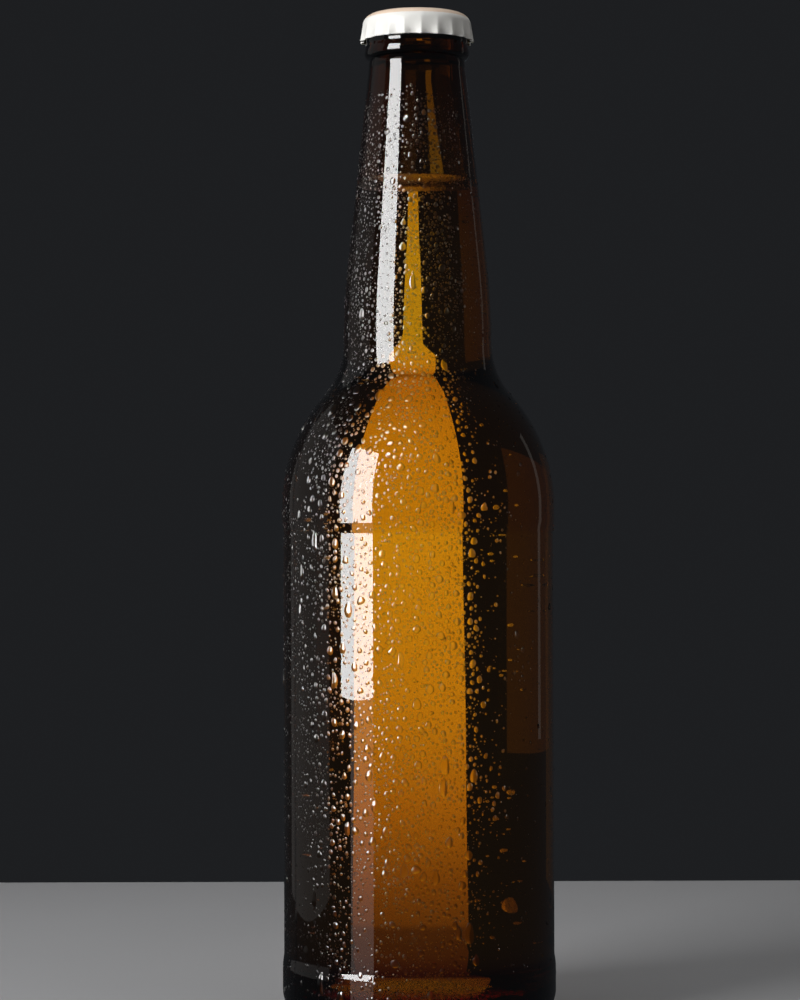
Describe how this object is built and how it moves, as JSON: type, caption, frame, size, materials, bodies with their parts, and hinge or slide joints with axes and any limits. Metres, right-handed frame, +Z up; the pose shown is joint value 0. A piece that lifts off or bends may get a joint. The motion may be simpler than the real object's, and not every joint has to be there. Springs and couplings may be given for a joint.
{
  "type": "beer bottle",
  "caption": "Long-neck amber glass beer bottle with a round shoulder, filled with beer up into the neck and shut with a fluted crown cap.",
  "frame": {"origin": "on the bottle's axis, in the plane of the ring that it stands on", "axes": "+Z up along the bottle's axis; the bottle is round, so +X and +Y are any two directions, and one ridge of the cap lies along +X"},
  "size_m": [0.0686, 0.0686, 0.2517],
  "materials": {
    "amber_glass": "clear amber container glass, smooth and glossy",
    "beer": "clear golden beer",
    "crown_enamel": "satin white enamel on tinned steel, pale beige on top",
    "liner_plastic": "soft matte sealing compound",
    "condensation": "clear water drops"
  },
  "bodies": {
    "root": {"glass_bottle": "amber_glass", "beer": "beer", "crown_cap": "crown_enamel", "cap_liner": "liner_plastic"}
  },
  "joints": []
}
